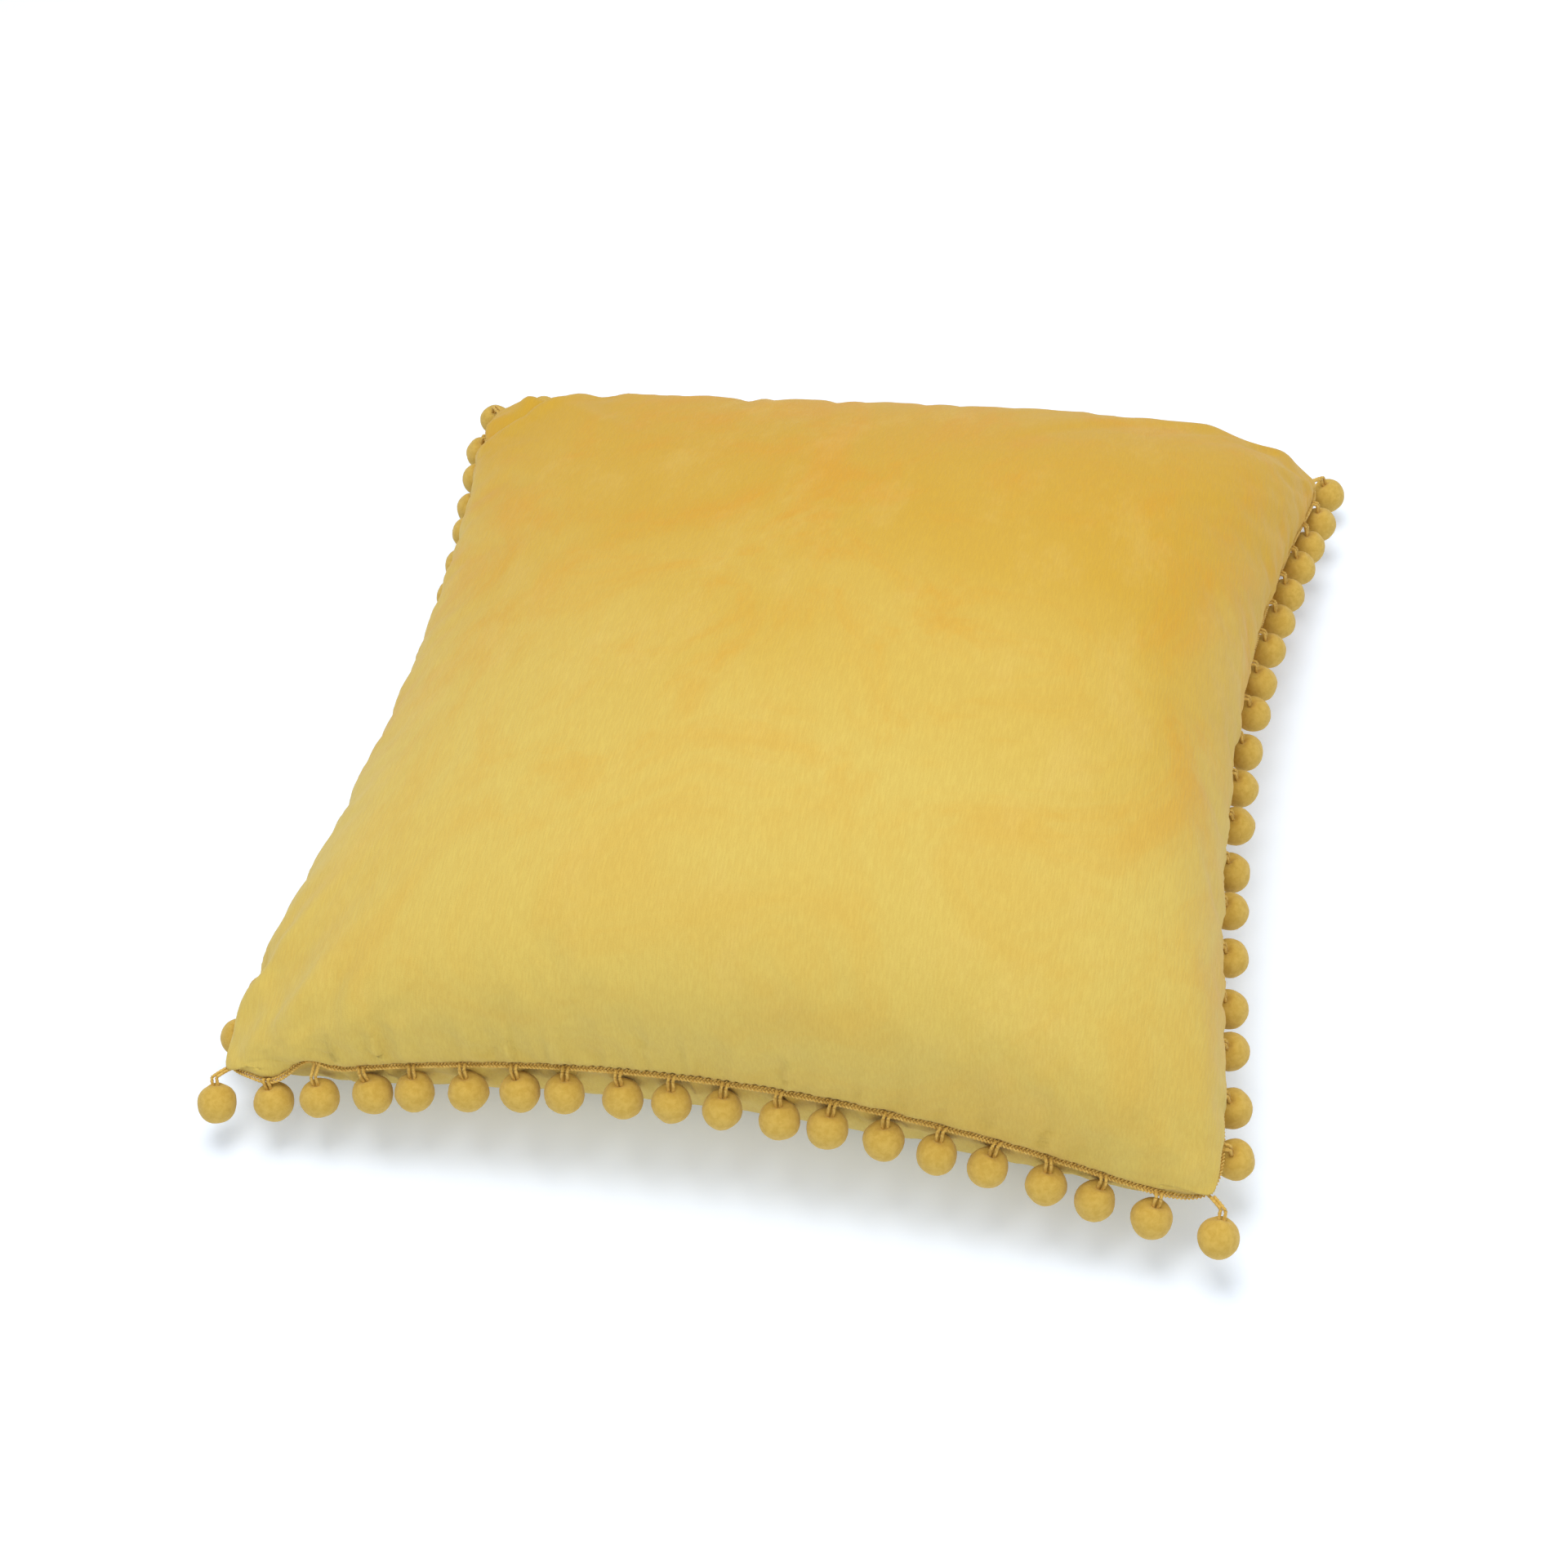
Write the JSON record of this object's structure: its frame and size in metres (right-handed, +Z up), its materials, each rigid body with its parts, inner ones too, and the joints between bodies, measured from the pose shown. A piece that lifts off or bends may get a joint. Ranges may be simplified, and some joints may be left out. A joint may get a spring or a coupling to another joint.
{
  "type": "throw pillow",
  "caption": "Square velvet throw pillow with a braided seam, a swinging pompom fringe on all edges, a zipped back panel and a stuffed insert.",
  "frame": {"origin": "On the floor under the middle of the whole pillow, pompoms included.", "axes": "+Z up through the thickness, +X along the front edge to its right end, +Y to the back edge, where the zip is."},
  "size_m": [0.4546, 0.4584, 0.1453],
  "materials": {
    "velvet_cover": "cotton velvet, short pile with a soft sheen and nap marks",
    "trim_braid": "chain-stitched gimp braid",
    "pompom_felt": "matte felted yarn",
    "inner_case": "plain-woven cotton",
    "fibre_fill": "loose polyester fibre",
    "zip_tape": "twill tape",
    "zip_coil": "nylon coil",
    "zip_metal": "satin",
    "care_label": "satin ribbon, blank"
  },
  "bodies": {
    "cushion": {"cover_top_panel": "velvet_cover", "cover_back_panel": "velvet_cover", "inner_case_top": "inner_case", "inner_case_bottom": "inner_case", "fibre_fill": "fibre_fill", "zip_tape_upper": "zip_tape", "zip_coil_upper": "zip_coil", "zip_tape_lower": "zip_tape", "zip_coil_lower": "zip_coil", "zip_top_stop": "zip_metal", "zip_bottom_stop": "zip_metal", "care_label": "care_label", "braid_front": "trim_braid", "braid_right": "trim_braid", "braid_back": "trim_braid", "braid_left": "trim_braid"},
    "pompom_run_front_1": {"pompom_run_front_1": "pompom_felt"},
    "pompom_run_front_2": {"pompom_run_front_2": "pompom_felt"},
    "pompom_run_front_3": {"pompom_run_front_3": "pompom_felt"},
    "pompom_run_front_4": {"pompom_run_front_4": "pompom_felt"},
    "pompom_run_front_5": {"pompom_run_front_5": "pompom_felt"},
    "pompom_run_front_6": {"pompom_run_front_6": "pompom_felt"},
    "pompom_run_right_1": {"pompom_run_right_1": "pompom_felt"},
    "pompom_run_right_2": {"pompom_run_right_2": "pompom_felt"},
    "pompom_run_right_3": {"pompom_run_right_3": "pompom_felt"},
    "pompom_run_right_4": {"pompom_run_right_4": "pompom_felt"},
    "pompom_run_right_5": {"pompom_run_right_5": "pompom_felt"},
    "pompom_run_right_6": {"pompom_run_right_6": "pompom_felt"},
    "pompom_run_back_1": {"pompom_run_back_1": "pompom_felt"},
    "pompom_run_back_2": {"pompom_run_back_2": "pompom_felt"},
    "pompom_run_back_3": {"pompom_run_back_3": "pompom_felt"},
    "pompom_run_back_4": {"pompom_run_back_4": "pompom_felt"},
    "pompom_run_back_5": {"pompom_run_back_5": "pompom_felt"},
    "pompom_run_back_6": {"pompom_run_back_6": "pompom_felt"},
    "pompom_run_left_1": {"pompom_run_left_1": "pompom_felt"},
    "pompom_run_left_2": {"pompom_run_left_2": "pompom_felt"},
    "pompom_run_left_3": {"pompom_run_left_3": "pompom_felt"},
    "pompom_run_left_4": {"pompom_run_left_4": "pompom_felt"},
    "pompom_run_left_5": {"pompom_run_left_5": "pompom_felt"},
    "pompom_run_left_6": {"pompom_run_left_6": "pompom_felt"},
    "pompom_corner_front_left": {"pompom_corner_front_left": "pompom_felt"},
    "pompom_corner_front_right": {"pompom_corner_front_right": "pompom_felt"},
    "pompom_corner_back_right": {"pompom_corner_back_right": "pompom_felt"},
    "pompom_corner_back_left": {"pompom_corner_back_left": "pompom_felt"},
    "zip_slider": {"zip_slider": "zip_metal"},
    "zip_puller": {"zip_puller": "zip_metal"}
  },
  "joints": [
    {"name": "pompom_run_front_1_swing", "type": "hinge", "parent": "cushion", "child": "pompom_run_front_1", "pos_m": [-0.16499, -0.21322, 0.03863], "axis": [-0.9737, -0.0973, -0.2061], "range_deg": [0, 116]},
    {"name": "pompom_run_front_2_swing", "type": "hinge", "parent": "cushion", "child": "pompom_run_front_2", "pos_m": [-0.10066, -0.20709, 0.04941], "axis": [-0.9896, -0.0763, -0.1223], "range_deg": [0, 116]},
    {"name": "pompom_run_front_3_swing", "type": "hinge", "parent": "cushion", "child": "pompom_run_front_3", "pos_m": [-0.03556, -0.20363, 0.05475], "axis": [-0.9988, -0.0292, -0.0402], "range_deg": [0, 116]},
    {"name": "pompom_run_front_4_swing", "type": "hinge", "parent": "cushion", "child": "pompom_run_front_4", "pos_m": [0.02985, -0.2033, 0.05483], "axis": [-0.9991, 0.0189, 0.0374], "range_deg": [0, 116]},
    {"name": "pompom_run_front_5_swing", "type": "hinge", "parent": "cushion", "child": "pompom_run_front_5", "pos_m": [0.09505, -0.20609, 0.05005], "axis": [-0.9919, 0.0663, 0.1081], "range_deg": [0, 116]},
    {"name": "pompom_run_front_6_swing", "type": "hinge", "parent": "cushion", "child": "pompom_run_front_6", "pos_m": [0.15972, -0.21161, 0.04089], "axis": [-0.9813, 0.0886, 0.1707], "range_deg": [0, 116]},
    {"name": "pompom_run_right_1_swing", "type": "hinge", "parent": "cushion", "child": "pompom_run_right_1", "pos_m": [0.20298, -0.16386, 0.0404], "axis": [0.1358, -0.9786, -0.1546], "range_deg": [0, 118]},
    {"name": "pompom_run_right_2_swing", "type": "hinge", "parent": "cushion", "child": "pompom_run_right_2", "pos_m": [0.19507, -0.09696, 0.04914], "axis": [0.0874, -0.991, -0.1015], "range_deg": [0, 118]},
    {"name": "pompom_run_right_3_swing", "type": "hinge", "parent": "cushion", "child": "pompom_run_right_3", "pos_m": [0.19164, -0.02942, 0.05383], "axis": [0.0134, -0.9993, -0.0361], "range_deg": [0, 118]},
    {"name": "pompom_run_right_4_swing", "type": "hinge", "parent": "cushion", "child": "pompom_run_right_4", "pos_m": [0.19328, 0.03833, 0.05368], "axis": [-0.0618, -0.9973, 0.0407], "range_deg": [0, 118]},
    {"name": "pompom_run_right_5_swing", "type": "hinge", "parent": "cushion", "child": "pompom_run_right_5", "pos_m": [0.19995, 0.10552, 0.04802], "axis": [-0.1347, -0.9829, 0.1255], "range_deg": [0, 118]},
    {"name": "pompom_run_right_6_swing", "type": "hinge", "parent": "cushion", "child": "pompom_run_right_6", "pos_m": [0.21097, 0.1715, 0.03645], "axis": [-0.1796, -0.9602, 0.214], "range_deg": [0, 118]},
    {"name": "pompom_run_back_1_swing", "type": "hinge", "parent": "cushion", "child": "pompom_run_back_1", "pos_m": [0.1695, 0.21396, 0.03728], "axis": [0.9809, 0.1095, -0.1609], "range_deg": [0, 104]},
    {"name": "pompom_run_back_2_swing", "type": "hinge", "parent": "cushion", "child": "pompom_run_back_2", "pos_m": [0.10221, 0.21011, 0.04278], "axis": [0.9999, 0.0079, -0.0066], "range_deg": [0, 104]},
    {"name": "pompom_run_back_3_swing", "type": "hinge", "parent": "cushion", "child": "pompom_run_back_3", "pos_m": [0.03364, 0.20976, 0.043], "axis": [1, 0.0024, 0], "range_deg": [0, 104]},
    {"name": "pompom_run_back_4_swing", "type": "hinge", "parent": "cushion", "child": "pompom_run_back_4", "pos_m": [-0.03495, 0.2096, 0.043], "axis": [1, 0.0023, 0], "range_deg": [0, 104]},
    {"name": "pompom_run_back_5_swing", "type": "hinge", "parent": "cushion", "child": "pompom_run_back_5", "pos_m": [-0.10351, 0.20962, 0.04281], "axis": [1, -0.003, 0.0059], "range_deg": [0, 104]},
    {"name": "pompom_run_back_6_swing", "type": "hinge", "parent": "cushion", "child": "pompom_run_back_6", "pos_m": [-0.17097, 0.21312, 0.03798], "axis": [0.9846, -0.1039, 0.1409], "range_deg": [0, 104]},
    {"name": "pompom_run_left_1_swing", "type": "hinge", "parent": "cushion", "child": "pompom_run_left_1", "pos_m": [-0.21162, 0.16964, 0.03122], "axis": [-0.2045, 0.9766, -0.0662], "range_deg": [0, 108]},
    {"name": "pompom_run_left_2_swing", "type": "hinge", "parent": "cushion", "child": "pompom_run_left_2", "pos_m": [-0.19953, 0.1032, 0.03481], "axis": [-0.1448, 0.9887, -0.0393], "range_deg": [0, 108]},
    {"name": "pompom_run_left_3_swing", "type": "hinge", "parent": "cushion", "child": "pompom_run_left_3", "pos_m": [-0.19262, 0.03607, 0.03658], "axis": [-0.0598, 0.9981, -0.0129], "range_deg": [0, 108]},
    {"name": "pompom_run_left_4_swing", "type": "hinge", "parent": "cushion", "child": "pompom_run_left_4", "pos_m": [-0.19151, -0.03141, 0.0366], "axis": [0.0269, 0.9996, 0.0125], "range_deg": [0, 108]},
    {"name": "pompom_run_left_5_swing", "type": "hinge", "parent": "cushion", "child": "pompom_run_left_5", "pos_m": [-0.19621, -0.09873, 0.03495], "axis": [0.1122, 0.993, 0.036], "range_deg": [0, 108]},
    {"name": "pompom_run_left_6_swing", "type": "hinge", "parent": "cushion", "child": "pompom_run_left_6", "pos_m": [-0.20611, -0.16556, 0.03177], "axis": [0.1724, 0.9834, 0.0575], "range_deg": [0, 108]},
    {"name": "pompom_corner_front_left_swing", "type": "hinge", "parent": "cushion", "child": "pompom_corner_front_left", "pos_m": [-0.21094, -0.21399, 0.029], "axis": [-0.9903, -0.1392, 0], "range_deg": [0, 90]},
    {"name": "pompom_corner_front_right_swing", "type": "hinge", "parent": "cushion", "child": "pompom_corner_front_right", "pos_m": [0.206, -0.21199, 0.033], "axis": [-0.9781, 0.2079, 0], "range_deg": [0, 90]},
    {"name": "pompom_corner_back_right_swing", "type": "hinge", "parent": "cushion", "child": "pompom_corner_back_right", "pos_m": [0.216, 0.21895, 0.026], "axis": [-0.5, -0.866, 0], "range_deg": [0, 108]},
    {"name": "pompom_corner_back_left_swing", "type": "hinge", "parent": "cushion", "child": "pompom_corner_back_left", "pos_m": [-0.21794, 0.21795, 0.028], "axis": [0.9397, 0.342, 0], "range_deg": [0, 125]},
    {"name": "zip_slide", "type": "slide", "parent": "cushion", "child": "zip_slider", "axis": [-1, -0.0043, -0.0022], "range_m": [0, 0.291]},
    {"name": "zip_puller_turn", "type": "hinge", "parent": "zip_slider", "child": "zip_puller", "pos_m": [0.14352, 0.19562, 0.01438], "axis": [0.0043, -0.5868, -0.8097], "range_deg": [0, 170]}
  ]
}
